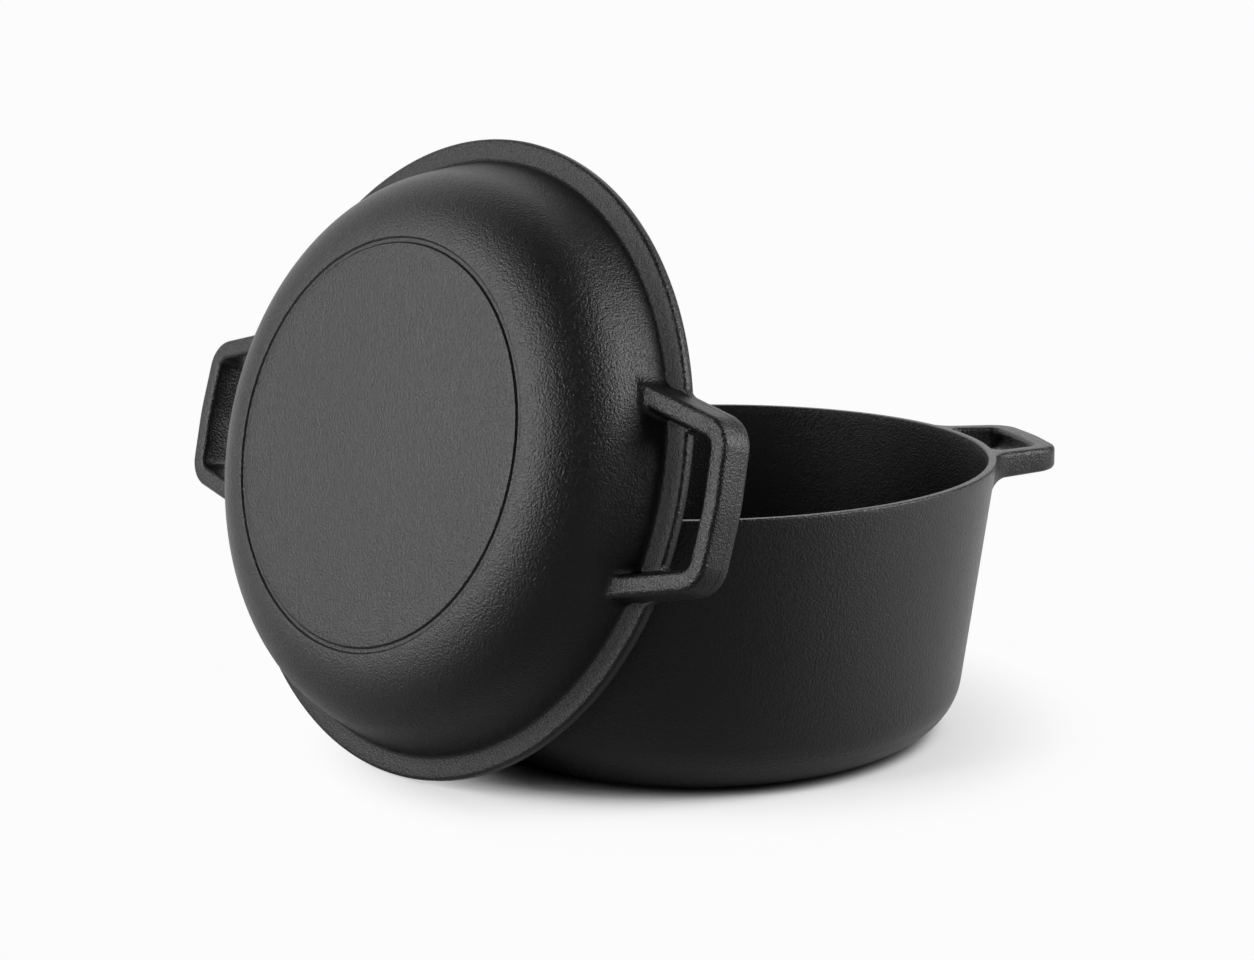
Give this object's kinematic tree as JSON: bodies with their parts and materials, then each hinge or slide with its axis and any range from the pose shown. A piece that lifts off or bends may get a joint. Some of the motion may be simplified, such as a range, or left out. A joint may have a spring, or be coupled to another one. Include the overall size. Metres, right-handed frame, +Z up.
{
  "type": "cast iron bread pot",
  "caption": "Deep round cast iron bread pot with a shallow domed lid, both with cast loop handles; the lid turned over is a skillet.",
  "frame": {"origin": "middle of the bowl's flat base, on the surface it stands on", "axes": "+Z up along the bowl's axis; +X from the middle of the bowl through the loop handle that is away from the lid"},
  "size_m": [0.3735, 0.292, 0.262],
  "materials": {
    "pot_iron": "matte black seasoning over a fine sand-cast texture",
    "lid_iron": "matte black seasoning over a fine sand-cast texture"
  },
  "bodies": {
    "pot": {"pot": "pot_iron"},
    "lid": {"lid": "lid_iron"}
  },
  "joints": [
    {"name": "lid_lift", "type": "slide", "parent": "pot", "child": "lid", "axis": [-0.8178, -0.5049, 0.2763], "range_m": [0, 0.2]}
  ]
}
